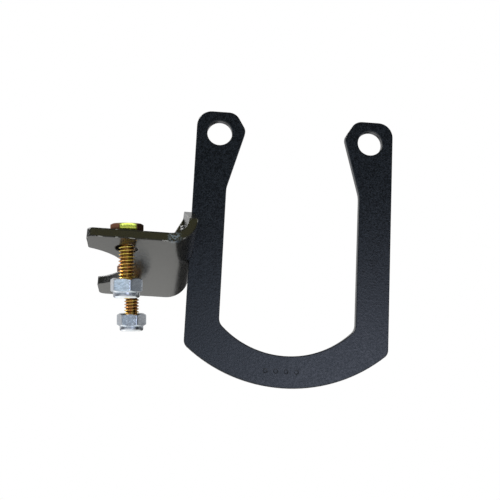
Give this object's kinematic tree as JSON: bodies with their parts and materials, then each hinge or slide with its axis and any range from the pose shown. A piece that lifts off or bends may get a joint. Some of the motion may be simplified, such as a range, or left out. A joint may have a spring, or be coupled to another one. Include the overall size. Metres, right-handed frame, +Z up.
{
  "type": "ladder stabilizer bracket",
  "caption": "Flat steel U-shaped arm plate with two eyelets and a raked side bracket, cut out as a round saddle, that carries two hex bolts with lock nuts.",
  "frame": {"origin": "midway between the two eyelet centres, on the middle plane of the U-plate", "axes": "+X to the right from the bracket's arm to the free arm, +Y to the rear, square to the U-plate, +Z up, towards the eyelet ends of the arms"},
  "size_m": [0.1206, 0.0644, 0.1124],
  "materials": {
    "black_coat": "semi-gloss black powder coat",
    "yellow_zinc": "yellow chromate zinc plate",
    "bright_zinc": "bright blue-white zinc plate",
    "nylon": "natural nylon"
  },
  "bodies": {
    "root": {"u_plate": "black_coat", "bracket": "black_coat", "rib": "black_coat", "rib_welds": "black_coat", "arm_weld": "black_coat"},
    "front_bolt": {"front_bolt": "yellow_zinc"},
    "front_nut": {"front_nut": "bright_zinc", "front_nut_insert": "nylon"},
    "rear_bolt": {"rear_bolt": "yellow_zinc"},
    "rear_nut": {"rear_nut": "bright_zinc", "rear_nut_insert": "nylon"}
  },
  "joints": [
    {"name": "front_bolt_spin", "type": "hinge", "parent": "root", "child": "front_bolt", "pos_m": [-0.06463, -0.02118, -0.05238], "axis": [0.0554, 0.1165, -0.9916], "range_deg": [0, 2410]},
    {"name": "front_nut_travel", "type": "slide", "parent": "root", "child": "front_nut", "axis": [-0.0554, -0.1165, 0.9916], "range_m": [0, 0.0085]},
    {"name": "rear_bolt_spin", "type": "hinge", "parent": "root", "child": "rear_bolt", "pos_m": [-0.06501, 0.0196, -0.06254], "axis": [0.0554, 0.1165, -0.9916], "range_deg": [0, 2410]},
    {"name": "rear_nut_travel", "type": "slide", "parent": "root", "child": "rear_nut", "axis": [-0.0554, -0.1165, 0.9916], "range_m": [0, 0.0085]}
  ],
  "couplings": [
    {"joint": "front_bolt_spin", "follows": "front_nut_travel", "rad_per_m": 4947.4},
    {"joint": "rear_bolt_spin", "follows": "rear_nut_travel", "rad_per_m": 4947.4}
  ]
}
